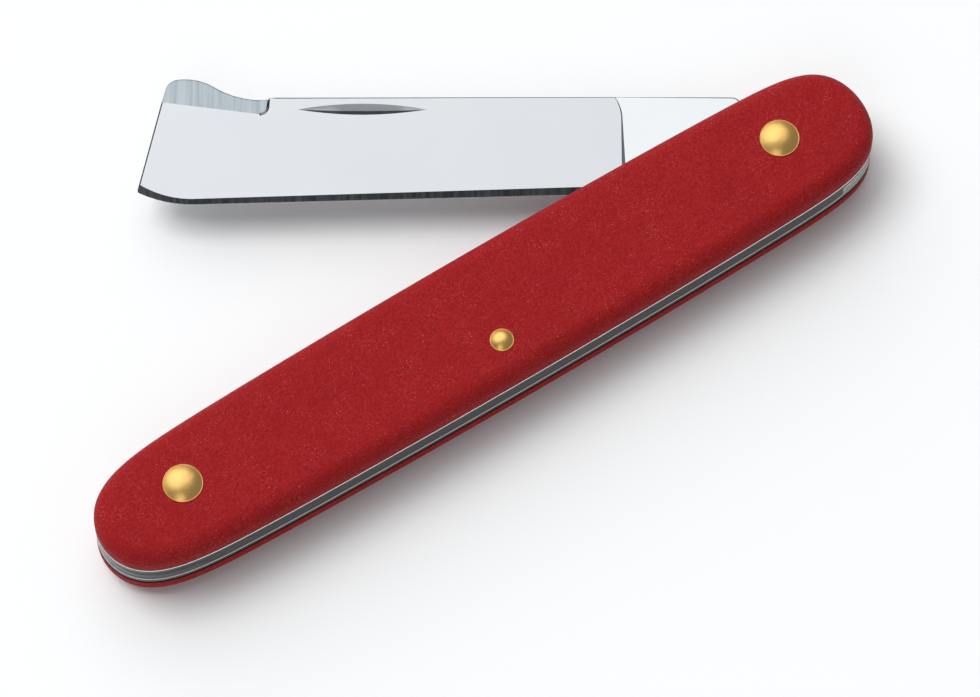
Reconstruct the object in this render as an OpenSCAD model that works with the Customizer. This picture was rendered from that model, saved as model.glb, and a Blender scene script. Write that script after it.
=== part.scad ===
// Folding grafting knife with a bark lifter on the blade's back.
// X runs along the handle towards the pivot end, Y across it towards the open
// side of the slot, and Z up from the flat outer face of the rear scale.

/* [Handle] */
// Length of the handle, end to end
handle_l = 100; // [90:1:130]
// Width of the handle at its middle
handle_w = 15.9; // [15.5:0.1:20]
// How much nearer the centre line each side runs at the ends
handle_taper = 0.95; // [0:0.05:1.2]
// How much wider each side runs at the pivot end than at mid-length
handle_flare = 0.1; // [0:0.05:0.3]
// Squareness of the pivot end
pivot_end_power = 17; // [10:1:18]
// Squareness of the other end
far_end_power = 13; // [10:1:18]

/* [Scales and liners] */
// Thickness of each handle scale
scale_t = 3.4; // [3:0.1:5]
// Radius of the rounding round each scale's outer edge
scale_round = 2; // [1:0.1:2.5]
// Thickness of each liner
liner_t = 0.8; // [0.5:0.1:1.5]

/* [Pose] */
// Angle between the blade and the closed handle, as modelled
open_angle = 32; // [32:1:180]
// Angle at which the closed blade stands proud of the handle
closed_lift = 4.5; // [4:0.1:7]

/* [Blade] */
// Thickness of the blade's stock and of the back spring
leaf_t = 1.8; // [1.4:0.1:3]
// Height of the blade's back above the pivot
spine_h = 7; // [6.5:0.05:8]
// Depth of the edge below the pivot at the foot of the belly
edge_drop = 5.9; // [5:0.1:6.2]
// Angle at which the edge closes on the back towards the handle
edge_slope = 1.6; // [1:0.1:2.5]
// Length of the belly between the straight edge and the tip
belly_l = 6.6; // [5:0.1:9]
// Rise of the belly from the straight edge to the tip
belly_rise = 1.5; // [0.5:0.1:2.5]
// Angle at which the blade's end leans back
end_lean = 13.4; // [5:0.1:20]
// Radius of the corner where the belly meets the blade's end
tip_r = 0.3; // [0.2:0.1:1]
// Radius of the corner where the blade's back meets its shoulder
shoulder_r = 1; // [0.5:0.1:1.5]
// Distance from the pivot to the start of the ground faces
ricasso_l = 17.6; // [14:0.1:22]
// Depth of the ground faces along the blade's back
grind_step = 0.05; // [0.03:0.01:0.1]
// Distance that the ground faces' start curves towards the tip at the back
plunge_in = 0.65; // [0.3:0.05:1]
// Height of that curve, down from the back
plunge_down = 2.8; // [2:0.1:4]
// Angle at which the wall of their start leans back towards the handle
plunge_slope = 40; // [20:5:50]
// Thickness of the ground blade where the sharpened bevel begins
ground_t = 0.45; // [0.3:0.05:0.8]
// Width of the sharpened bevel
bevel_w = 0.6; // [0.4:0.05:0.9]
// Thickness left at the cutting edge
edge_t = 0.04; // [0.02:0.01:0.1]
// Distance from the pivot to the front of the kick that rests on the spring
kick_l = 9; // [8:0.5:12]

/* [Bark lifter] */
// Rise of the lifter's crown above the blade's back
lifter_h = 2.5; // [1.5:0.05:3]
// Distance from the blade's tip back to the crown, along the blade
lifter_back = 5.2; // [5:0.1:7]
// Radius of the lifter's crown
crown_r = 6; // [5:0.5:8]
// Radius of the nose that turns the crown down into the blade's end
nose_r = 1.6; // [1:0.1:2]
// Radius of the hollow between the crown and the blade's back
hollow_r = 9.4; // [7:0.1:14]
// Depth of the hollow below the blade's back
hollow_dip = 0.15; // [0.05:0.05:0.4]
// Thickness of the lifter at its crown
lifter_t = 0.7; // [0.5:0.05:1]
// Height of the lifter's bevel on the blade's face, at its back end
lifter_face = 2.2; // [1.5:0.1:3]
// Angle between the foot of that bevel and the blade's back
lifter_slant = 7.5; // [4:0.5:10]
// Distance that the bevel runs back past the hollow's lowest point
lifter_past = 0.7; // [0:0.1:1]
// Radius of the corner at that bevel's back end
lifter_corner = 1; // [0.5:0.1:1.5]

/* [Nail nick] */
// Length of the nail nick
nick_l = 14.7; // [10:0.1:16]
// Distance from the pivot to the middle of the nail nick
nick_at = 47.1; // [40:0.1:50]
// Distance from the blade's back down to the deepest line of the nick
nick_down = 1.5; // [1:0.1:2]
// Depth of the nick in the blade's face
nick_depth = 0.45; // [0.3:0.05:0.6]
// Width of the nick's upper wall
nick_upper = 0.65; // [0.3:0.05:1]
// Width of the nick's lower wall
nick_lower = 0.7; // [0.3:0.05:1]

/* [Back spring] */
// Thickness of the spring's nose where the tang bears on it
nose_t = 1.95; // [1.5:0.05:2.5]
// Distance that the spring reaches past the pivot
nose_reach = 4; // [3:0.1:5]
// Length of the thin nose arm on the blade's side of the pivot
nose_arm_l = 14; // [12:0.5:18]
// Travel of the nose between the tang's round and its flats
nose_travel = 0.6; // [0.3:0.05:0.9]
// Metal left round the middle pin on the blade's side
pin_wall = 0.8; // [0.6:0.05:1]
// Height of the spring's end block above the pivot line
block_h = 4.5; // [3:0.5:5]

/* [Rivets] */
// Distance from the pivot end of the handle to the pivot
pivot_in = 10.8; // [10:0.1:13]
// Distance from the other end of the handle to the end rivet
end_in = 10.9; // [9:0.1:14]
// Distance of both from the centre line, towards the open side of the slot
rivet_up = 0.55; // [0:0.05:1]
// Distance of the middle rivet from mid-length, towards the pivot
middle_x = -0.3; // [-1:0.1:1]
// Distance of the middle rivet from the centre line, towards the spring
middle_down = 3.65; // [3.4:0.05:4.2]
// Radius of the pivot and end pins
pin_r = 1.25; // [1:0.05:1.5]
// Radius of the middle pin
small_pin_r = 0.8; // [0.6:0.05:0.9]
// Radius of the pivot and end rivets' heads
head_r = 2.25; // [2:0.05:3]
// Radius of the middle rivet's heads
small_head_r = 1.36; // [1.3:0.02:1.8]
// Rise of the pivot and end rivets' domes above their rims
dome_h = 0.65; // [0.4:0.05:0.9]
// Rise of the middle rivet's domes above their rims
small_dome_h = 0.45; // [0.3:0.05:0.6]
// Height of the rim that each dome stands on, above the scale
rim_h = 0.12; // [0.05:0.01:0.2]
// Depth of each head's flange in the scale
flange_t = 0.5; // [0.4:0.05:0.8]
// Wall of each cap's sleeve round its pin
sleeve_wall = 0.35; // [0.3:0.05:0.5]
// Length of pin inside each cap's sleeve
pin_hold = 2.6; // [2:0.1:2.9]

/* [Clearances] */
// Gap between each face of the blade or spring and its liner
side_gap = 0.05; // [0.02:0.01:0.1]
// Radial gap between the pivot pin and the blade's bore
running_gap = 0.04; // [0.02:0.01:0.08]
// Radial gap round each pin and each cap in the pieces it is fixed in
seat_gap = 0.02; // [0.01:0.01:0.05]
// Gap between the tang's round and the spring's nose
cam_gap = 0.05; // [0.03:0.01:0.1]
// Gap between the tang's shoulder and the spring's end, fully open
stop_gap = 0.1; // [0.05:0.05:0.3]
// Gap between the closed blade's tip and the spring's end block
tip_gap = 1.2; // [0.8:0.1:2]
// Distance from the closed blade's tip to the middle of the end pin
tip_room = 5.8; // [5:0.1:9]

/* [Hidden] */
$fn = 96;

SCALE_RED = [0.62, 0.12, 0.13];
LINER_GREY = [0.74, 0.74, 0.74];
STEEL = [0.80, 0.81, 0.83];
BRASS = [0.85, 0.66, 0.33];

// Stack of layers, from the rear scale's outer face up
slot_t = leaf_t + 2 * side_gap;
rear_liner_z = scale_t;
slot_z = rear_liner_z + liner_t;
front_liner_z = slot_z + slot_t;
front_scale_z = front_liner_z + liner_t;
mid_z = slot_z + slot_t / 2;

// Rivet places in plan: pivot, middle and end
pivot_at = [handle_l / 2 - pivot_in, rivet_up];
end_at = [end_in - handle_l / 2, rivet_up];
middle_at = [middle_x, -middle_down];

// Handle outline: a barrel whose sides close on smoothly rounded ends.
// side_y is its half width at x, and the points lie closer towards the ends.
outline_steps = 48;
half_l = handle_l / 2;
function end_power(x) = x > 0 ? pivot_end_power : far_end_power;
function side_y(x) = let (q = x / half_l)
    (handle_w / 2 - handle_taper * q * q + handle_flare * q)
    * sqrt(max(0, 1 - pow(abs(q), end_power(x))));
function station(i) = half_l * sin(90 * (2 * i / outline_steps - 1));
outline_pts = concat(
    [for (i = [0 : outline_steps]) [station(i), -side_y(station(i))]],
    [for (i = [outline_steps - 1 : -1 : 1]) [station(i), side_y(station(i))]]
);

// The same outline drawn in by d, each point moved square to the outline
function inward(a, b) = let (t = b - a) [-t[1], t[0]] / norm(t);
function inset_pts(p, d) = let (n = len(p))
    [for (i = [0 : n - 1]) p[i] + d * inward(p[(i + n - 1) % n], p[(i + 1) % n])];

// Tang: a round that lifts the spring, with a flat for each end of the travel
tang_r = side_y(pivot_at[0]) + rivet_up - nose_t - cam_gap;
flat_r = tang_r - nose_travel;
flat_half = acos(flat_r / tang_r);
shoulder_x = nose_reach + stop_gap;

// Blade outline, with the pivot at the origin, the tip towards +X and the
// back towards +Y. reach is the distance from the pivot to the tip's foot.
reach = pivot_at[0] - end_at[0] - tip_room;
belly_x = reach - belly_l;
tip_y = belly_rise - edge_drop;
function edge_y(x) = (belly_x - x) * tan(edge_slope) - edge_drop;

// Arc of n steps about c from angle a0 to a1
function arc_pts(c, r, a0, a1, n) =
    [for (i = [0 : n]) let (a = a0 + (a1 - a0) * i / n) c + r * [cos(a), sin(a)]];

// Bark lifter: the crown, the nose inside it that meets the leaning end, and
// the hollow outside it that runs out on the blade's back
end_normal = [cos(end_lean), sin(end_lean)];
crown_c = [reach - lifter_back, spine_h + lifter_h - crown_r];
nose_swing = acos(((([reach, tip_y] - crown_c) * end_normal) - nose_r)
    / (crown_r - nose_r));
nose_a = end_lean + nose_swing;
nose_c = crown_c + (crown_r - nose_r) * [cos(nose_a), sin(nose_a)];
hollow_y = spine_h - hollow_dip + hollow_r;
hollow_c = [
    crown_c[0] - sqrt(pow(hollow_r + crown_r, 2) - pow(hollow_y - crown_c[1], 2)),
    hollow_y
];
hollow_a = atan2(crown_c[1] - hollow_y, crown_c[0] - hollow_c[0]);
hollow_out_a = -90 - acos((hollow_r - hollow_dip) / hollow_r);

// Belly: an arc that carries the straight edge up to the tip's foot
belly_turn = 2 * (atan(belly_rise / belly_l) + edge_slope);
belly_r = norm([belly_l, belly_rise]) / (2 * sin(belly_turn / 2));
belly_c = [belly_x, -edge_drop] + belly_r * [sin(edge_slope), cos(edge_slope)];
belly_end_a = belly_turn - edge_slope;
belly_steps = 6;

// Corner of radius tip_r between the leaning end and the belly's end
belly_dir = [cos(belly_end_a), sin(belly_end_a)];
end_dir = [-sin(end_lean), cos(end_lean)];
tip_turn = acos(-belly_dir * end_dir) / 2;
tip_bisector = (end_dir - belly_dir) / norm(end_dir - belly_dir);
tip_c = [reach, tip_y] + tip_r / sin(tip_turn) * tip_bisector;
tip_cut_a = atan(tip_r / tan(tip_turn) / belly_r);
belly_from_a = belly_end_a - 90 - tip_cut_a;
belly_to_a = -edge_slope - 90;
belly_pts = arc_pts(belly_c, belly_r, belly_from_a, belly_to_a, belly_steps);

// Closed flat: square to the spring when the blade lies at closed_lift
flat_a = -90 - closed_lift;
flat_normal = [cos(flat_a), sin(flat_a)];
function flat_y(x) = (flat_r - x * flat_normal[0]) / flat_normal[1];

blade_pts = concat(
    [[shoulder_x, flat_r]],
    arc_pts([shoulder_x + shoulder_r, spine_h - shoulder_r], shoulder_r, 180, 90, 6),
    arc_pts(hollow_c, hollow_r, hollow_out_a, hollow_a, 12),
    arc_pts(crown_c, crown_r, 180 + hollow_a, nose_a, 10),
    arc_pts(nose_c, nose_r, nose_a, end_lean, 10),
    arc_pts(tip_c, tip_r, end_lean, belly_end_a - 90, 6),
    belly_pts,
    [[kick_l, edge_y(kick_l)], [kick_l, flat_y(kick_l)]],
    arc_pts([0, 0], tang_r, flat_a - flat_half, flat_half - 270, 24)
);

// Cutting planes, each as half thickness at two heights
bevel_angle = atan((ground_t - edge_t) / 2 / bevel_w);
ground_h = spine_h + edge_drop - bevel_w;
ground_z = leaf_t / 2 - grind_step;
ground_angle = atan((ground_z - ground_t / 2) / ground_h);
lifter_drop = ground_z + lifter_h * tan(ground_angle) - lifter_t / 2;
lifter_run = lifter_h + lifter_face
    - (crown_c[0] - hollow_c[0]) * tan(lifter_slant);
lifter_tilt = atan(lifter_drop / lifter_run);
clear = 5;

// Outline of the ground faces, from their start at the blade's back, and of
// the lifter's bevel, from its back corner
plunge_r = (pow(plunge_in, 2) + pow(plunge_down, 2)) / (2 * plunge_in);
past_back = 0.3;
plunge_a = asin((plunge_down + past_back) / plunge_r);
ground_down = 2 * spine_h + edge_drop;
ground_pts = concat(
    arc_pts([plunge_r, -plunge_down], plunge_r, 180 - plunge_a, 180, 8),
    [[-plunge_in, -ground_down], [2 * reach, -ground_down], [2 * reach, past_back]]
);
lifter_pts = concat(
    arc_pts([lifter_corner, lifter_corner], lifter_corner, 180, 270, 8),
    [[2 * lifter_back + clear, 0], [2 * lifter_back + clear, 2 * clear], [0, 2 * clear]]
);

module front_scale() {
    color(SCALE_RED)
        difference() {
            translate([0, 0, front_scale_z]) scale_body();
            cap_seats(front_scale_z, 1);
        }
}

module rear_scale() {
    color(SCALE_RED)
        difference() {
            translate([0, 0, scale_t]) mirror([0, 0, 1]) scale_body();
            cap_seats(scale_t, -1);
        }
}

// A scale lying on z = 0 with its rounded edge up
module scale_body() {
    wall = scale_t - scale_round;
    layer = 0.001;
    hull() {
        linear_extrude(wall) polygon(outline_pts);
        for (a = [15 : 15 : 90])
            translate([0, 0, wall + scale_round * sin(a) - layer])
                linear_extrude(layer)
                    polygon(inset_pts(outline_pts, scale_round * (1 - cos(a))));
    }
}

// Stepped holes for the three caps, from the liner's face at z towards side
module cap_seats(z, side) {
    cap_seat(pivot_at, pin_r, head_r, z, side);
    cap_seat(middle_at, small_pin_r, small_head_r, z, side);
    cap_seat(end_at, pin_r, head_r, z, side);
}

module cap_seat(at, core_r, rim_r, z, side) {
    translate([at[0], at[1], z]) scale_side(side) {
        translate([0, 0, -1]) cylinder(r = core_r + sleeve_wall + seat_gap, h = scale_t + 2);
        translate([0, 0, scale_t - flange_t]) cylinder(r = rim_r + seat_gap, h = flange_t + 1);
    }
}

// Turns what is built upwards towards the front (1) or the rear (-1)
module scale_side(side) {
    mirror([0, 0, side > 0 ? 0 : 1]) children();
}

module front_liner() {
    liner(front_liner_z);
}

module rear_liner() {
    liner(rear_liner_z);
}

module liner(z) {
    color(LINER_GREY)
        difference() {
            translate([0, 0, z]) linear_extrude(liner_t) polygon(outline_pts);
            pin_hole(pivot_at, pin_r + seat_gap);
            pin_hole(middle_at, small_pin_r + seat_gap);
            pin_hole(end_at, pin_r + seat_gap);
        }
}

module pin_hole(at, r) {
    translate([at[0], at[1], -clear]) cylinder(r = r, h = 2 * clear + 2 * mid_z);
}

// One leaf: a thin nose arm that bears on the tang, a deeper back arm past the
// middle pin, and a block that closes the end of the slot round the end pin
module back_spring() {
    nose_y = rivet_up - tang_r - cam_gap;
    land_y = middle_at[1] + small_pin_r + pin_wall;
    block_x = pivot_at[0] - reach - tip_gap;
    block_y = rivet_up + block_h;
    color(STEEL)
        difference() {
            translate([0, 0, mid_z - leaf_t / 2])
                linear_extrude(leaf_t)
                    intersection() {
                        polygon(outline_pts);
                        polygon([
                            [pivot_at[0] + nose_reach, -handle_w],
                            [pivot_at[0] + nose_reach, nose_y],
                            [pivot_at[0] - nose_arm_l, nose_y],
                            [middle_at[0] + nose_reach, land_y],
                            [block_x, land_y],
                            [block_x, block_y],
                            [-handle_l, block_y],
                            [-handle_l, -handle_w]
                        ]);
                    }
            pin_hole(middle_at, small_pin_r + seat_gap);
            pin_hole(end_at, pin_r + seat_gap);
        }
}

module blade() {
    color(STEEL)
        translate([pivot_at[0], pivot_at[1], mid_z])
            rotate([0, 0, -open_angle])
                mirror([1, 0, 0])
                    difference() {
                        translate([0, 0, -leaf_t / 2])
                            linear_extrude(leaf_t) polygon(blade_pts);
                        translate([0, 0, -leaf_t])
                            cylinder(r = pin_r + running_gap, h = 2 * leaf_t);
                        for (side = [1, -1]) scale_side(side) {
                            ground_face();
                            edge_bevel([belly_x, -edge_drop], belly_to_a - 90,
                                belly_x - ricasso_l);
                            for (i = [0 : belly_steps - 1])
                                edge_bevel(belly_pts[i],
                                    belly_from_a + (belly_to_a - belly_from_a) * i / belly_steps - 90,
                                    belly_l);
                            lifter_bevel();
                        }
                        nail_nick();
                    }
}

// Puts what is drawn flat on the plane that falls from the blade's back to its
// edge, with y = 0 along the back
module on_ground_face() {
    translate([0, spine_h, ground_z]) rotate([ground_angle, 0, 0]) children();
}

// Removes the stock above that plane, beyond a wall that leans back
module ground_face() {
    intersection() {
        on_ground_face()
            translate([0, -ground_down, 0])
                cube([2 * reach, ground_down + past_back, leaf_t]);
        translate([ricasso_l, spine_h, ground_z])
            rotate([0, -plunge_slope, 0])
                translate([0, 0, -2 * reach])
                    linear_extrude(3 * reach) polygon(ground_pts);
    }
}

// Removes the stock above a plane that rises from the edge at p. The plane's
// foot runs on for l in direction a, with the blade's body on its right.
module edge_bevel(p, a, l) {
    translate([p[0], p[1], edge_t / 2])
        rotate([0, 0, a])
            rotate([-bevel_angle, 0, 0])
                translate([-belly_l, -2 * bevel_w, 0])
                    cube([belly_l + l, 3 * bevel_w, leaf_t]);
}

// Thins the lifter towards its crown, behind a rounded corner at its back end
module lifter_bevel() {
    on_ground_face()
        translate([hollow_c[0] - lifter_past, -lifter_face, 0])
            rotate([0, 0, lifter_slant])
                rotate([-lifter_tilt, 0, 0])
                    linear_extrude(leaf_t) polygon(lifter_pts);
}

// A long V sunk by a wide wheel, steep above and sloping below
module nail_nick() {
    wheel_r = (pow(nick_l / 2, 2) + pow(nick_depth, 2)) / (2 * nick_depth);
    face_z = ground_z - nick_down * tan(ground_angle);
    grow = 3;
    translate([nick_at, spine_h - nick_down, face_z + wheel_r - nick_depth])
        rotate([-90, 0, 0])
            rotate_extrude($fn = 240)
                polygon([
                    [wheel_r, 0],
                    [wheel_r - grow * nick_depth, grow * nick_upper],
                    [wheel_r - grow * nick_depth, -grow * nick_lower]
                ]);
}

module pivot_pin() {
    pin(pivot_at, pin_r);
}

module middle_pin() {
    pin(middle_at, small_pin_r);
}

module end_pin() {
    pin(end_at, pin_r);
}

// A plain pin through both liners, with its ends inside the two caps
module pin(at, r) {
    l = slot_t + 2 * liner_t + 2 * pin_hold;
    color(BRASS)
        translate([at[0], at[1], mid_z - l / 2]) cylinder(r = r, h = l);
}

module pivot_cap_front() {
    cap(pivot_at, pin_r, head_r, dome_h, 1);
}

module pivot_cap_rear() {
    cap(pivot_at, pin_r, head_r, dome_h, -1);
}

module middle_cap_front() {
    cap(middle_at, small_pin_r, small_head_r, small_dome_h, 1);
}

module middle_cap_rear() {
    cap(middle_at, small_pin_r, small_head_r, small_dome_h, -1);
}

module end_cap_front() {
    cap(end_at, pin_r, head_r, dome_h, 1);
}

module end_cap_rear() {
    cap(end_at, pin_r, head_r, dome_h, -1);
}

// A sleeve that stands on the liner, with a flange sunk in the scale and a
// low dome outside
module cap(at, core_r, rim_r, rise, side) {
    dome_r = (pow(rim_r, 2) + pow(rise, 2)) / (2 * rise);
    face = scale_t + rim_h;
    color(BRASS)
        translate([at[0], at[1], side > 0 ? front_scale_z : scale_t])
            scale_side(side)
                difference() {
                    union() {
                        cylinder(r = core_r + sleeve_wall, h = scale_t);
                        translate([0, 0, scale_t - flange_t])
                            cylinder(r = rim_r, h = flange_t + rim_h);
                        rotate_extrude()
                            intersection() {
                                translate([0, face + rise - dome_r]) circle(r = dome_r);
                                translate([0, face]) square([rim_r, 2 * rise]);
                            }
                    }
                    translate([0, 0, -1])
                        cylinder(r = core_r + seat_gap, h = pin_hold + seat_gap + 1);
                }
}

front_scale();
rear_scale();
front_liner();
rear_liner();
back_spring();
blade();
pivot_pin();
middle_pin();
end_pin();
pivot_cap_front();
pivot_cap_rear();
middle_cap_front();
middle_cap_rear();
end_cap_front();
end_cap_rear();
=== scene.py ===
"""A folding grafting knife with red textured scales, lying half open on a pale floor."""
import math

import bmesh
import bpy
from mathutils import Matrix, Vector

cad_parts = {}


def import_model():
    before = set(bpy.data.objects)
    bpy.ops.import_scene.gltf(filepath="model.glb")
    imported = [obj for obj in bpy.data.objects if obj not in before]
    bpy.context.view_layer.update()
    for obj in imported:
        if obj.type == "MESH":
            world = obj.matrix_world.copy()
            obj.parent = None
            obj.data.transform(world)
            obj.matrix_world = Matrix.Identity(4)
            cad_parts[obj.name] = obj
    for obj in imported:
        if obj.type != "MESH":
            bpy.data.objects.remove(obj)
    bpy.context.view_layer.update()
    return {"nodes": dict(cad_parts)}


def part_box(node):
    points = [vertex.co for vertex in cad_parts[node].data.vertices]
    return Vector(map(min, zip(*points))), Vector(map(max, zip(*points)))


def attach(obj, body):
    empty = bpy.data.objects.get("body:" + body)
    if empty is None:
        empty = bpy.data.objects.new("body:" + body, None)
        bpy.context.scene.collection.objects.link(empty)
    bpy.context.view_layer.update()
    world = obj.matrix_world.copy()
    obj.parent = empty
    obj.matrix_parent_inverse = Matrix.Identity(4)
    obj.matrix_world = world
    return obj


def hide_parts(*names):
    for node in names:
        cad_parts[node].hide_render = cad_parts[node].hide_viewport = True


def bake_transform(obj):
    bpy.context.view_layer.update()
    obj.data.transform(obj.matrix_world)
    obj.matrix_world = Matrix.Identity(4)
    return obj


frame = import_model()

MM = 0.001

# Handle outline, in millimetres, as the CAD has it
HANDLE_L = 100.0
HANDLE_W = 15.9
HANDLE_TAPER = 0.95
HANDLE_FLARE = 0.1
PIVOT_END_POWER = 17
FAR_END_POWER = 13
OUTLINE_STEPS = 140
HALF_L = HANDLE_L / 2

# Scale and liner sections, in millimetres
SCALE_T = 3.4
ROUND_ACROSS = 2.0
ROUND_DOWN = 2.0
ROUND_STEPS = 10
SEAM_H = 0.24
LINER_T = 0.8
LINER_EDGE = 0.13
LINER_STEP = 0.02
SPRING_STEP = 0.06
SPRING_EASE = 0.07
OUTER_BAND = 0.15
END_BAND = 2
MIDDLE_BAND = 1

# Rivet heads, in millimetres: (rim radius, core radius, dome rise)
BIG_HEAD = (2.25, 1.25, 0.65)
SMALL_HEAD = (1.36, 0.8, 0.45)
RIM_H = 0.12
LIP = 0.07
DOME_STEPS = 12
FLANGE_T = 0.5
SLEEVE_WALL = 0.35
SEAT_GAP = 0.02
PIN_HOLD = 2.6

# Middle of the stack of layers, in millimetres
MID_Z = 5.15

# Shading: creases in degrees, and the area of a wide face in square millimetres
CREASE = 28
WIDE_CREASE = 2
WIDE_FACE = 0.5

# CAD copies: joined points in millimetres, one plane in degrees, how far an eased edge is from MID_Z
WELD = 0.002
SAME_PLANE = 0.4
TALL = 0.24

# Blade, in degrees, and in millimetres from the pivot along it and across it
OPEN_ANGLE = 32
LIFTER_FROM = 58
LIFTER_ABOVE = 4
NICK_FROM = 38
NICK_TO = 56
NICK_ABOVE = 4
EDGE_ABOVE = -2
HONED_FROM = 12
BLADE_EASE = 0.18
STRIP_W = 0.2
MARK_STRETCH = 30

# How far a face of the blade leans, in degrees: nail nick, lifter and sharpened bevel
NICK_LEAN = (15, 60)
LIFTER_LEAN = (2, 30)
HONED_LEAN = -6

# Numbers of the blade's finishes. The lit nick wall and the flat faces carry painted light; the shaded
# nick wall, the eased edges and the sharpened bevel painted shade; the lifter partly painted shade.
POLISHED, GROUND, NICK_LIT, SHADED, EASED, HONED, FLAT = range(7)

# View: the photograph's camera, in millimetres and degrees
VIEW_ELEVATION = 68.15
VIEW_AZIMUTH = 32.0
VIEW_DISTANCE = 700.0
VIEW_TARGET = (-0.83, -1.99, 5.0)
LENS = 229.7
SENSOR = 36.0
FLOOR_Z = -0.8

# Overhead light: lean from the vertical, azimuth from +X towards +Y, inner and outer radius, in degrees
OVERHEAD_LEAN = 41
OVERHEAD_AZIMUTH = 87
OVERHEAD_INNER = 10
OVERHEAD_OUTER = 54
OVERHEAD_LEVEL = 1.5
SURROUND_LEVEL = 0.25


# ---------------------------------------------------------------- geometry

def new_object(name, bm, body):
    """Makes bm, drawn in millimetres, a smooth-shaded piece that rides on body."""
    bmesh.ops.scale(bm, vec=(MM, MM, MM), verts=bm.verts)
    bmesh.ops.recalc_face_normals(bm, faces=bm.faces)
    mesh = bpy.data.meshes.new(name)
    bm.to_mesh(mesh)
    bm.free()
    obj = bpy.data.objects.new(name, mesh)
    bpy.context.scene.collection.objects.link(obj)
    shade(mesh)
    if body:
        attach(obj, body)
    return obj


def shade(mesh, angle=CREASE):
    """Smooth shading that breaks at edges sharper than angle, in degrees."""
    mesh.polygons.foreach_set("use_smooth", [True] * len(mesh.polygons))
    mesh.set_sharp_from_angle(angle=math.radians(angle))


def shade_ground(mesh, wide=WIDE_FACE, angle=WIDE_CREASE):
    """Smooth shading in which every face wider than wide, in square millimetres, keeps its own plane."""
    shade(mesh)
    bm = bmesh.new()
    bm.from_mesh(mesh)
    for edge in bm.edges:
        if len(edge.link_faces) == 2:
            area = max(face.calc_area() for face in edge.link_faces)
            if area > wide * MM * MM and edge.calc_face_angle(0) > math.radians(angle):
                edge.smooth = False
    bm.to_mesh(mesh)
    bm.free()


def half_width(x):
    """Half the handle's width at x."""
    q = x / HALF_L
    power = PIVOT_END_POWER if x > 0 else FAR_END_POWER
    side = HANDLE_W / 2 - HANDLE_TAPER * q * q + HANDLE_FLARE * q
    return side * math.sqrt(max(0.0, 1 - abs(q) ** power))


def outline():
    """The handle's outline, counter-clockwise, with its points closer at the ends."""
    stations = []
    for i in range(OUTLINE_STEPS + 1):
        stations.append(HALF_L * math.sin(math.pi * (i / OUTLINE_STEPS - 0.5)))
    lower = [Vector((x, -half_width(x))) for x in stations]
    upper = [Vector((x, half_width(x))) for x in reversed(stations[1:-1])]
    return lower + upper


def inset(points, d):
    """points moved inwards by d, square to the outline."""
    moved = []
    for i, p in enumerate(points):
        along = (points[(i + 1) % len(points)] - points[i - 1]).normalized()
        moved.append(p + d * Vector((-along.y, along.x)))
    return moved


def loft(bm, section):
    """A closed stack of inset outlines. section lists (inset, height)."""
    points = outline()
    rings = []
    for d, z in section:
        ring = inset(points, d)
        rings.append([bm.verts.new((p.x, p.y, z)) for p in ring])
    for low, high in zip(rings, rings[1:]):
        for i in range(len(low)):
            j = (i + 1) % len(low)
            bm.faces.new((low[i], low[j], high[j], high[i]))
    bm.faces.new(list(reversed(rings[0])))
    bm.faces.new(rings[-1])


def lathe(bm, profile, at, z, side, steps=64):
    """A solid turned from profile, a list of (radius, height), at a place in plan."""
    rings = []
    for r, h in profile:
        height = z + side * h
        if r == 0:
            rings.append([bm.verts.new((at[0], at[1], height))])
            continue
        ring = []
        for i in range(steps):
            a = 2 * math.pi * i / steps
            ring.append(bm.verts.new((at[0] + r * math.cos(a), at[1] + r * math.sin(a), height)))
        rings.append(ring)
    for low, high in zip(rings, rings[1:]):
        for i in range(steps):
            j = (i + 1) % steps
            corners = [low[i % len(low)], low[j % len(low)], high[j % len(high)], high[i % len(high)]]
            unique = list(dict.fromkeys(corners))
            bm.faces.new(unique)


def cut(obj, profiles):
    """Cuts lathed shapes out of obj. profiles lists (profile, at, z, side)."""
    bm = bmesh.new()
    for profile, at, z, side in profiles:
        lathe(bm, profile, at, z, side)
    tool = new_object(obj.name + "_tool", bm, None)
    modifier = obj.modifiers.new("cut", "BOOLEAN")
    modifier.operation = "DIFFERENCE"
    modifier.solver = "EXACT"
    modifier.object = tool
    bpy.context.view_layer.update()
    graph = bpy.context.evaluated_depsgraph_get()
    mesh = bpy.data.meshes.new_from_object(obj.evaluated_get(graph))
    obj.modifiers.remove(modifier)
    old = obj.data
    obj.data = mesh
    bpy.data.meshes.remove(old)
    bpy.data.objects.remove(tool)
    shade(mesh)


def plan(node):
    """The middle of a CAD node's box in plan, in millimetres."""
    low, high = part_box(node)
    middle = (low + high) / 2 / MM
    return (middle.x, middle.y)


def from_cad(node, name, body, width, move=None):
    """A copy of a CAD node with its flat faces made whole and its outer edges eased."""
    bm = bmesh.new()
    bm.from_mesh(frame["nodes"][node].data)
    bmesh.ops.scale(bm, vec=(1 / MM, 1 / MM, 1 / MM), verts=bm.verts)
    bmesh.ops.remove_doubles(bm, verts=bm.verts, dist=WELD)
    limit = math.radians(SAME_PLANE)
    bmesh.ops.dissolve_limit(bm, angle_limit=limit, verts=bm.verts, edges=bm.edges)
    if move:
        move(bm)
    bmesh.ops.bevel(
        bm, geom=[e for e in bm.edges if is_outer(e, width)], offset=width,
        offset_type="OFFSET", segments=2, profile=0.5, affect="EDGES", clamp_overlap=False)
    obj = new_object(name, bm, body)
    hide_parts(node)
    return obj


def is_outer(edge, width):
    """True where a flat face meets an upright wall, far enough from MID_Z to ease by width."""
    if len(edge.link_faces) != 2:
        return False
    leans = sorted(abs(face.normal.z) for face in edge.link_faces)
    tall = all(abs(v.co.z - MID_Z) > TALL for v in edge.verts)
    return tall and leans[0] < 0.3 and leans[1] > 0.8 and edge.calc_length() > width


# --------------------------------------------------------------- materials

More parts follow.
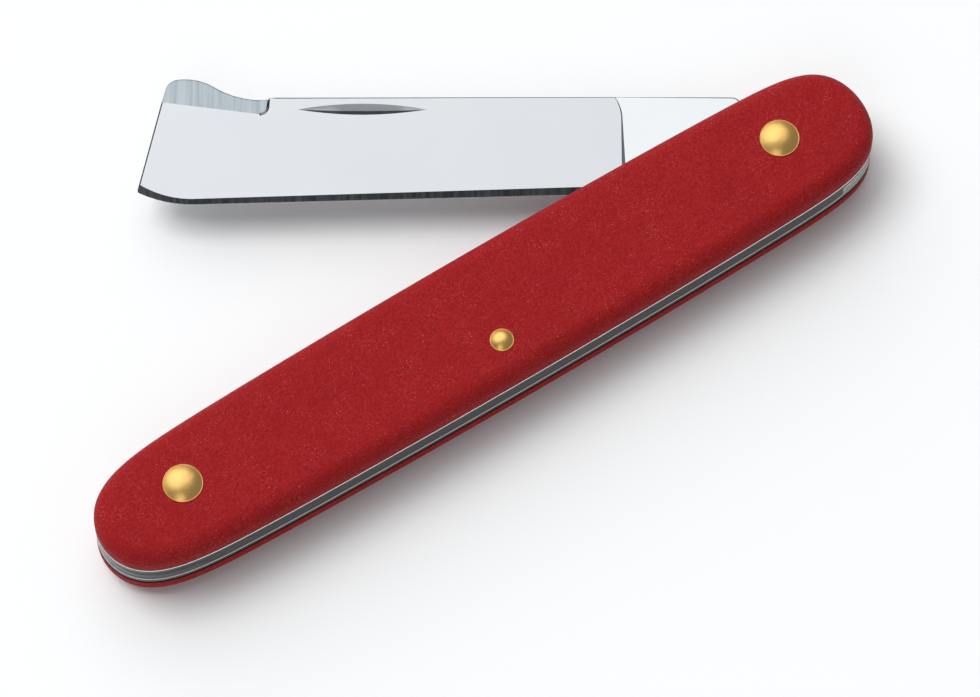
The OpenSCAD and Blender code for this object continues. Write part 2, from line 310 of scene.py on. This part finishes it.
class Shader:
    """A Principled material whose nodes are added with short calls."""

    def __init__(self, name, color, roughness, metallic):
        self.material = bpy.data.materials.new(name)
        self.material.use_nodes = True
        self.tree = self.material.node_tree
        self.bsdf = self.tree.nodes["Principled BSDF"]
        self.bsdf.inputs["Base Color"].default_value = (*color, 1)
        self.bsdf.inputs["Roughness"].default_value = roughness
        self.bsdf.inputs["Metallic"].default_value = metallic
        self.coords = self.add("ShaderNodeTexCoord").outputs["Object"]

    def add(self, kind, **settings):
        node = self.tree.nodes.new(kind)
        for key, value in settings.items():
            setattr(node, key, value)
        return node

    def link(self, a, b):
        self.tree.links.new(a, b)

    def noise(self, size, detail=2.0, stretch=(1, 1, 1), across=False):
        """Noise whose features are about size millimetres across, or drawn out across the blade."""
        mapping = self.add("ShaderNodeMapping")
        mapping.inputs["Scale"].default_value = stretch
        if across:
            mapping.vector_type = "TEXTURE"
            mapping.inputs["Rotation"].default_value = (0, 0, -math.radians(OPEN_ANGLE))
            mapping.inputs["Scale"].default_value = (1, MARK_STRETCH, MARK_STRETCH)
        self.link(self.coords, mapping.inputs["Vector"])
        node = self.add("ShaderNodeTexNoise")
        node.inputs["Scale"].default_value = 1 / (size * MM)
        node.inputs["Detail"].default_value = detail
        self.link(mapping.outputs["Vector"], node.inputs["Vector"])
        return node.outputs["Fac"]

    def ramp(self, value, low, high, from_low=0.0, from_high=1.0):
        node = self.add("ShaderNodeMapRange")
        node.inputs["From Min"].default_value = from_low
        node.inputs["From Max"].default_value = from_high
        node.inputs["To Min"].default_value = low
        node.inputs["To Max"].default_value = high
        self.link(value, node.inputs["Value"])
        return node.outputs["Result"]

    def product(self, a, b):
        node = self.add("ShaderNodeMath", operation="MULTIPLY")
        self.link(a, node.inputs[0])
        self.link(b, node.inputs[1])
        return node.outputs["Value"]

    def mix(self, value, a, b):
        """A colour between a and b, each a colour or a socket."""
        node = self.add("ShaderNodeMix", data_type="RGBA")
        inputs = [s for s in node.inputs if s.type == "RGBA"]
        for socket, color in zip(inputs, (a, b)):
            if isinstance(color, tuple):
                socket.default_value = (*color, 1)
            else:
                self.link(color, socket)
        factor = [s for s in node.inputs if s.type == "VALUE" and s.name == "Factor"][0]
        self.link(value, factor)
        return [s for s in node.outputs if s.type == "RGBA"][0]

    def bump(self, *layers):
        """Stacks bumps. layers lists (height socket, depth in millimetres)."""
        normal = None
        for height, depth in layers:
            node = self.add("ShaderNodeBump")
            node.inputs["Distance"].default_value = depth * MM
            node.inputs["Strength"].default_value = 1.0
            self.link(height, node.inputs["Height"])
            if normal:
                self.link(normal, node.inputs["Normal"])
            normal = node.outputs["Normal"]
        self.link(normal, self.bsdf.inputs["Normal"])

    def color(self, socket):
        self.link(socket, self.bsdf.inputs["Base Color"])

    def roughness(self, socket):
        self.link(socket, self.bsdf.inputs["Roughness"])


def scale_material():
    """Moulded red plastic with a fine sandblast texture, and lighter specks that are painted glints."""
    s = Shader("scale_red", (0.3, 0.02, 0.02), 0.5, 0.0)
    s.bsdf.inputs["IOR"].default_value = 1.15
    s.bsdf.inputs["Specular IOR Level"].default_value = 0.35
    grain = s.noise(0.3, 3.0)
    fine = s.noise(0.13, 1.0)
    cloud = s.noise(6.0, 3.0)
    body = s.mix(s.ramp(cloud, 0, 1, 0.3, 0.7), (0.345, 0.016, 0.018), (0.385, 0.019, 0.021))
    mottled = s.mix(s.ramp(grain, 0, 1, 0.35, 0.65), (0.28, 0.011, 0.013), body)
    # Lighter specks in patches: painted glints on the plastic.
    patches = s.ramp(s.noise(2.5, 2.0), 0.2, 1, 0.4, 0.65)
    glint_speck = s.product(s.ramp(fine, 0, 1, 0.64, 0.78), patches)
    s.color(s.mix(glint_speck, mottled, (0.68, 0.18, 0.17)))
    s.roughness(s.ramp(fine, 0.55, 0.3, 0.5, 0.75))
    s.bump((grain, 0.09), (fine, 0.05))
    return s.material


def painted_seam_shade():
    """Painted shade: a dark band on a scale's foot, where it meets its liner."""
    s = Shader("scale_seam_painted_shade", (0.03, 0.006, 0.006), 0.7, 0.0)
    s.bsdf.inputs["IOR"].default_value = 1.1
    s.color(s.mix(s.noise(0.4, 3.0), (0.012, 0.003, 0.003), (0.035, 0.008, 0.008)))
    s.bump((s.noise(0.2, 2.0), 0.02))
    return s.material


def liner_edge_material(name, low, high):
    """The eased edge of a liner; its colours are painted, a painted highlight on the front liner and a
    painted shade on the rear one.
    """
    s = Shader(name, low, 0.5, 1.0)
    streaks = s.noise(0.3, 3.0, (0.05, 1, 1))
    s.color(s.mix(streaks, low, high))
    s.roughness(s.ramp(streaks, 0.4, 0.55, 0.3, 0.7))
    s.bump((streaks, 0.004))
    return s.material


def liner_material():
    """Satin metal with lengthways streaks."""
    s = Shader("liner_metal", (0.8, 0.79, 0.77), 0.3, 1.0)
    streaks = s.noise(0.2, 3.0, (0.03, 1, 1))
    s.color(s.mix(streaks, (0.62, 0.62, 0.61), (0.72, 0.72, 0.71)))
    s.roughness(s.ramp(streaks, 0.14, 0.22, 0.3, 0.7))
    s.bump((streaks, 0.004))
    return s.material


def painted_shade_metal(name, low, high):
    """Polished metal with fine lengthways marks, near black in colour as painted shade for its dark
    reflections.
    """
    s = Shader(name, low, 0.22, 1.0)
    streaks = s.noise(0.3, 3.0, (0.02, 1, 1))
    cloud = s.noise(4.0, 2.0)
    s.color(s.mix(streaks, low, high))
    s.roughness(s.ramp(cloud, 0.1, 0.18, 0.3, 0.7))
    s.bump((streaks, 0.003))
    return s.material


def blade_material(name, low, high):
    """Fine polished steel with faint lengthways marks."""
    s = Shader(name, low, 0.2, 1.0)
    streaks = s.noise(0.12, 3.0, (1, 0.04, 1))
    cloud = s.noise(9.0, 2.0)
    s.color(s.mix(cloud, low, high))
    s.roughness(s.ramp(streaks, 0.09, 0.13, 0.3, 0.7))
    s.bump((streaks, 0.0003))
    return s.material


def ground_material(name, low, high):
    """Steel with grind marks that run across the blade, its colours darker than the polished blade's as
    painted shade.
    """
    s = Shader(name, low, 0.25, 1.0)
    marks = s.noise(0.5, 4.0, across=True)
    s.color(s.mix(s.ramp(marks, 0, 1, 0.3, 0.7), low, high))
    s.roughness(s.ramp(marks, 0.2, 0.34, 0.3, 0.7))
    s.bump((marks, 0.004))
    return s.material


def rough_painted_material(name, low, high, roughness=0.5):
    """Rougher steel with painted colours: painted light on one wall of the nail nick, painted shade on
    its other wall and on the eased edges.
    """
    s = Shader(name, low, 0.5, 1.0)
    marks = s.noise(0.3, 3.0)
    s.color(s.mix(marks, low, high))
    s.roughness(s.ramp(marks, roughness - 0.08, roughness + 0.08, 0.3, 0.7))
    s.bump((marks, 0.01))
    return s.material


def brass_material():
    """Brass with a softly clouded polish."""
    s = Shader("brass", (0.83, 0.52, 0.16), 0.24, 1.0)
    cloud = s.noise(1.1, 3.0)
    fine = s.noise(0.12, 3.0)
    s.color(s.mix(cloud, (0.97, 0.56, 0.16), (1.0, 0.64, 0.22)))
    s.roughness(s.ramp(fine, 0.28, 0.36, 0.3, 0.7))
    s.bump((fine, 0.006), (cloud, 0.04))
    return s.material


def floor_material():
    """A plain pale floor with no gloss."""
    s = Shader("floor", (0.96, 0.96, 0.96), 0.9, 0.0)
    s.bsdf.inputs["Specular IOR Level"].default_value = 0.0
    return s.material


def paint(obj, material):
    """Puts one material on the whole of a piece, or on a CAD node's slots."""
    if not obj.data.materials:
        obj.data.materials.append(material)
    for slot in obj.material_slots:
        slot.material = material


# ------------------------------------------------------------------ pieces

def scale_section():
    """Inset and height of the scale's side, from the liner to the outer face."""
    section = [(0.06, 0.0), (0.02, 0.1), (0.0, SEAM_H), (0.0, SCALE_T - ROUND_DOWN)]
    for i in range(1, ROUND_STEPS + 1):
        a = math.radians(90 * i / ROUND_STEPS)
        section.append((
            ROUND_ACROSS * (1 - math.cos(a)),
            SCALE_T - ROUND_DOWN + ROUND_DOWN * math.sin(a)))
    return section


def liner_section():
    e = LINER_EDGE
    s = LINER_STEP
    return [(s + e, 0), (s + 0.3 * e, 0.3 * e), (s, e), (s, LINER_T - e),
            (s + 0.3 * e, LINER_T - 0.3 * e), (s + e, LINER_T)]


def place(section, z, side):
    """section set on height z, facing the front (1) or the rear (-1)."""
    placed = [(d, z + side * h) for d, h in section]
    return placed if side > 0 else placed[::-1]


def seat_profile(head):
    rim_r, core_r, _ = head
    sleeve_r = core_r + SLEEVE_WALL + SEAT_GAP
    step_h = SCALE_T - FLANGE_T
    return [(0, -1), (sleeve_r, -1), (sleeve_r, step_h), (rim_r + SEAT_GAP, step_h),
            (rim_r + SEAT_GAP, SCALE_T + 1), (0, SCALE_T + 1)]


def hole_profile(head):
    r = head[1] + SEAT_GAP
    return [(0, -1), (r, -1), (r, LINER_T + 1), (0, LINER_T + 1)]


def cap_profile(head):
    """A sleeve, a flange sunk in the scale, a fine lip and a low dome."""
    rim_r, core_r, rise = head
    sleeve_r = core_r + SLEEVE_WALL
    bore_r = core_r + SEAT_GAP
    step_h = SCALE_T - FLANGE_T
    face = SCALE_T + RIM_H
    lip = LIP
    dome_edge = rim_r - 2.2 * lip
    dome_r = (dome_edge ** 2 + rise ** 2) / (2 * rise)
    profile = [(0, PIN_HOLD + SEAT_GAP), (bore_r, PIN_HOLD + SEAT_GAP), (bore_r, 0),
               (sleeve_r, 0), (sleeve_r, step_h), (rim_r, step_h), (rim_r, face - lip),
               (rim_r - 0.3 * lip, face - 0.3 * lip), (rim_r - lip, face),
               (rim_r - 1.7 * lip, face - 0.3 * lip), (dome_edge, face)]
    top = math.asin(dome_edge / dome_r)
    for i in range(1, DOME_STEPS + 1):
        a = top * (1 - i / DOME_STEPS)
        profile.append((dome_r * math.sin(a) if i < DOME_STEPS else 0,
                        face + rise - dome_r * (1 - math.cos(a))))
    return profile


def handle_layers(materials):
    """Scales and liners, with the rivet holes cut through them."""
    places = [("pivot", BIG_HEAD), ("middle", SMALL_HEAD), ("end", BIG_HEAD)]
    for name, side, kind in (("front_scale", 1, "scale"), ("rear_scale", -1, "scale"),
                             ("front_liner", 1, "liner"), ("rear_liner", -1, "liner")):
        low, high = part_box(name)
        z = (low.z if side > 0 else high.z) / MM
        section = scale_section() if kind == "scale" else liner_section()
        bm = bmesh.new()
        loft(bm, place(section, z, side))
        obj = new_object(name + "_piece", bm, None)
        profile = seat_profile if kind == "scale" else hole_profile
        cut(obj, [(profile(head), plan(pin + "_pin"), z, side) for pin, head in places])
        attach(obj, "handle")
        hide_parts(name)
        paint(obj, materials[kind])
        edge = "front_edge" if side > 0 else "rear_edge"
        names = ("seam",) if kind == "scale" else (edge, "liner_side_painted_shade")
        detail(obj, z, side, [materials[key] for key in names], kind)


def detail(obj, z, side, finishes, kind):
    """Further materials: painted shade on a scale's foot, or on a liner's eased edges a painted
    highlight (front) and painted shade (rear), and painted shade on its sides.
    """
    mesh = obj.data
    for finish in finishes:
        mesh.materials.append(finish)
    for face in mesh.polygons:
        height = side * (face.center.z / MM - z)
        flat = abs(face.normal.z)
        # A scale's foot, below SEAM_H, gets painted shade.
        if kind == "scale" and flat < 0.9 and height < SEAM_H:
            face.material_index = 1
        # A liner's eased edges get painted highlight on the front liner and painted shade on the rear
        # one.
        if kind == "liner" and flat < 0.95:
            # A liner's upright sides get painted shade.
            face.material_index = 1 if flat > 0.15 else 2


def rivets(materials):
    for pin, head in (("pivot", BIG_HEAD), ("middle", SMALL_HEAD), ("end", BIG_HEAD)):
        for end, side in (("front", 1), ("rear", -1)):
            node = f"{pin}_cap_{end}"
            low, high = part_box(node)
            z = (low.z if side > 0 else high.z) / MM
            bm = bmesh.new()
            lathe(bm, cap_profile(head), plan(node), z, side)
            obj = new_object(node + "_piece", bm, "handle")
            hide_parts(node)
            paint(obj, materials["brass"])
        paint(frame["nodes"][pin + "_pin"], materials["brass"])


def recess(bm):
    """Draws the spring's outer edge in a little from the liners' edges."""
    for v in bm.verts:
        lower = v.co.y < 0 and abs(v.co.y) > half_width(v.co.x) - OUTER_BAND
        if lower or v.co.x < END_BAND - HALF_L:
            v.co.x = v.co.x * (1 - SPRING_STEP / HALF_L)
            v.co.y = v.co.y + SPRING_STEP if v.co.y < -MIDDLE_BAND else v.co.y


def spring(materials):
    obj = from_cad("back_spring", "back_spring_piece", None, SPRING_EASE, recess)
    # The spring's near-black colours are painted shade.
    paint(obj, materials["spring_steel"])
    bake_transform(obj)


def is_strip(face, width):
    """True for a face of an eased edge: leaning, long and no wider than width millimetres."""
    longest = max((edge_length(face, i) for i in range(len(face.vertices))))
    return 0.15 < abs(face.normal.z) < 0.98 and face.area / longest < width * MM


def edge_length(face, i):
    mesh = face.id_data
    a = mesh.vertices[face.vertices[i]].co
    b = mesh.vertices[face.vertices[i - 1]].co
    return (a - b).length


def grind(obj, finishes):
    """Gives each face of the blade its finish, painted light and painted shade among them. finishes are
    the materials after the first.
    """
    mesh = obj.data
    for finish in finishes:
        mesh.materials.append(finish)
    turn = math.radians(OPEN_ANGLE)
    pivot = Vector((*plan("pivot_pin"), 0)) * MM
    along = Vector((-math.cos(turn), math.sin(turn), 0))
    across = Vector((math.sin(turn), math.cos(turn), 0))
    for face in mesh.polygons:
        x = (face.center - pivot).dot(along) / MM
        y = (face.center - pivot).dot(across) / MM
        lean = math.degrees(math.asin(max(-1, min(1, face.normal.dot(across)))))
        face.material_index = finish_of(face, x, y, lean)


def finish_of(face, x, y, lean):
    """Number of the finish of the face at x along the blade and y across it, leaning lean degrees."""
    flat = abs(face.normal.z)
    # One wall of the nail nick gets painted light, the other painted shade.
    if NICK_FROM < x < NICK_TO and y > NICK_ABOVE and NICK_LEAN[0] < abs(lean) < NICK_LEAN[1]:
        return NICK_LIT if lean < 0 else SHADED
    # The lifter's grind gets real cross marks with colours darkened as painted shade.
    if x > LIFTER_FROM and y > LIFTER_ABOVE and LIFTER_LEAN[0] < lean < LIFTER_LEAN[1]:
        return GROUND
    # Eased edges get painted shade.
    if is_strip(face, STRIP_W) and y > EDGE_ABOVE:
        return EASED
    # The sharpened bevel gets painted shade.
    if x > HONED_FROM and y < EDGE_ABOVE and lean < HONED_LEAN and flat > 0.5:
        return HONED
    # Faces lying exactly flat get a lighter copy of the blade steel: painted reflection.
    return FLAT if flat > 0.9995 else POLISHED


def blade(materials):
    obj = from_cad("blade", "blade_piece", "blade", BLADE_EASE)
    shade_ground(obj.data)
    paint(obj, materials["blade_steel"])
    names = ("ground_steel_and_shade", "nick_painted_light", "nick_shade", "eased_edge_painted_shade", "honed_bevel_painted_shade", "flat_steel_painted_reflection")
    grind(obj, [materials[name] for name in names])


# ------------------------------------------------------------------- scene

def look_direction():
    az = math.radians(VIEW_AZIMUTH)
    el = math.radians(VIEW_ELEVATION)
    return Vector((math.sin(az) * math.cos(el), math.cos(az) * math.cos(el), -math.sin(el)))


def camera():
    data = bpy.data.cameras.new("camera")
    data.sensor_width = SENSOR
    data.lens = LENS
    data.clip_start = 0.01
    data.clip_end = 50
    obj = bpy.data.objects.new("camera", data)
    look = look_direction()
    obj.location = (Vector(VIEW_TARGET) - look * VIEW_DISTANCE) * MM
    obj.rotation_euler = look.to_track_quat("-Z", "Y").to_euler()
    bpy.context.scene.collection.objects.link(obj)
    bpy.context.scene.camera = obj


def lamp(name, azimuth, elevation, distance, size, power, color=(1, 1, 1), glossy=True):
    """A square softbox that faces the knife. azimuth runs from +X towards +Y."""
    data = bpy.data.lights.new(name, "AREA")
    data.shape = "SQUARE"
    data.size = size
    data.energy = power
    data.color = color
    obj = bpy.data.objects.new(name, data)
    az = math.radians(azimuth)
    el = math.radians(elevation)
    towards = Vector((math.cos(az) * math.cos(el), math.sin(az) * math.cos(el), math.sin(el)))
    obj.location = towards * distance
    obj.rotation_euler = (-towards).to_track_quat("-Z", "Y").to_euler()
    obj.visible_glossy = glossy
    bpy.context.scene.collection.objects.link(obj)


def world():
    """Dim surroundings with one broad soft light above, on the far side of the knife."""
    data = bpy.data.worlds.new("world")
    bpy.context.scene.world = data
    data.use_nodes = True
    tree = data.node_tree
    back = tree.nodes["Background"]
    coords = tree.nodes.new("ShaderNodeTexCoord")
    dot = tree.nodes.new("ShaderNodeVectorMath")
    dot.operation = "DOT_PRODUCT"
    lean = math.radians(OVERHEAD_LEAN)
    az = math.radians(OVERHEAD_AZIMUTH)
    dot.inputs[1].default_value = (
        math.cos(az) * math.sin(lean), math.sin(az) * math.sin(lean), math.cos(lean))
    tree.links.new(coords.outputs["Generated"], dot.inputs[0])
    ramp = tree.nodes.new("ShaderNodeMapRange")
    ramp.interpolation_type = "SMOOTHSTEP"
    ramp.inputs["From Min"].default_value = math.cos(math.radians(OVERHEAD_OUTER))
    ramp.inputs["From Max"].default_value = math.cos(math.radians(OVERHEAD_INNER))
    ramp.inputs["To Min"].default_value = SURROUND_LEVEL
    ramp.inputs["To Max"].default_value = OVERHEAD_LEVEL
    tree.links.new(dot.outputs["Value"], ramp.inputs["Value"])
    tree.links.new(ramp.outputs["Result"], back.inputs["Strength"])
    back.inputs["Color"].default_value = (0.96, 0.985, 1, 1)


def floor():
    bm = bmesh.new()
    bmesh.ops.create_grid(bm, x_segments=1, y_segments=1, size=4000)
    bmesh.ops.translate(bm, vec=(0, 0, FLOOR_Z), verts=bm.verts)
    obj = new_object("floor", bm, None)
    paint(obj, floor_material())


camera()
world()
lamp("key", azimuth=128, elevation=66, distance=2.0, size=1.1, power=19, glossy=False)
lamp("fill", azimuth=222, elevation=47, distance=2.0, size=1.0, power=3, color=(0.9, 0.97, 1))
floor()

materials = {
    "scale": scale_material(),
    "liner": liner_material(),
    # Front liner edge lighter as painted highlight, rear liner edge darker as painted shade.
    "front_edge": liner_edge_material("liner_edge_painted_highlight", (0.88, 0.86, 0.83), (0.97, 0.96, 0.94)),
    "rear_edge": liner_edge_material("liner_edge_painted_shade", (0.5, 0.48, 0.48), (0.66, 0.64, 0.64)),
    # A dark foot on the scales: painted shade.
    "seam": painted_seam_shade(),
    # Near-black spring and liner sides: painted shade for dark reflections.
    "spring_steel": painted_shade_metal("spring_steel", (0.03, 0.04, 0.047), (0.055, 0.07, 0.08)),
    "liner_side_painted_shade": painted_shade_metal("liner_side_painted_shade", (0.04, 0.045, 0.05), (0.08, 0.085, 0.092)),
    "blade_steel": blade_material("blade_steel", (0.57, 0.58, 0.605), (0.6, 0.605, 0.625)),
    # Faces lying exactly flat, lighter than the blade: painted reflection.
    "flat_steel_painted_reflection": blade_material("flat_steel_painted_reflection", (0.645, 0.655, 0.665), (0.665, 0.675, 0.685)),
    # The lifter's grind: real cross marks, colours darkened as painted shade.
    "ground_steel_and_shade": ground_material("ground_steel_and_shade", (0.28, 0.32, 0.35), (0.44, 0.48, 0.5)),
    # The sharpened bevel, near black: painted shade.
    "honed_bevel_painted_shade": ground_material("honed_bevel_painted_shade", (0.075, 0.085, 0.092), (0.13, 0.14, 0.147)),
    # The nick's lit wall lighter as painted light, its other wall darker as painted shade.
    "nick_painted_light": rough_painted_material("nick_painted_light", (0.6, 0.63, 0.65), (0.82, 0.85, 0.87), 0.68),
    "nick_shade": rough_painted_material("nick_shade", (0.05, 0.055, 0.06), (0.1, 0.105, 0.115)),
    # Eased edges near black: painted shade.
    "eased_edge_painted_shade": rough_painted_material("eased_edge_painted_shade", (0.035, 0.04, 0.045), (0.07, 0.075, 0.085)),
    "brass": brass_material(),
}
handle_layers(materials)
rivets(materials)
spring(materials)
blade(materials)

bpy.context.scene.view_settings.view_transform = "Standard"
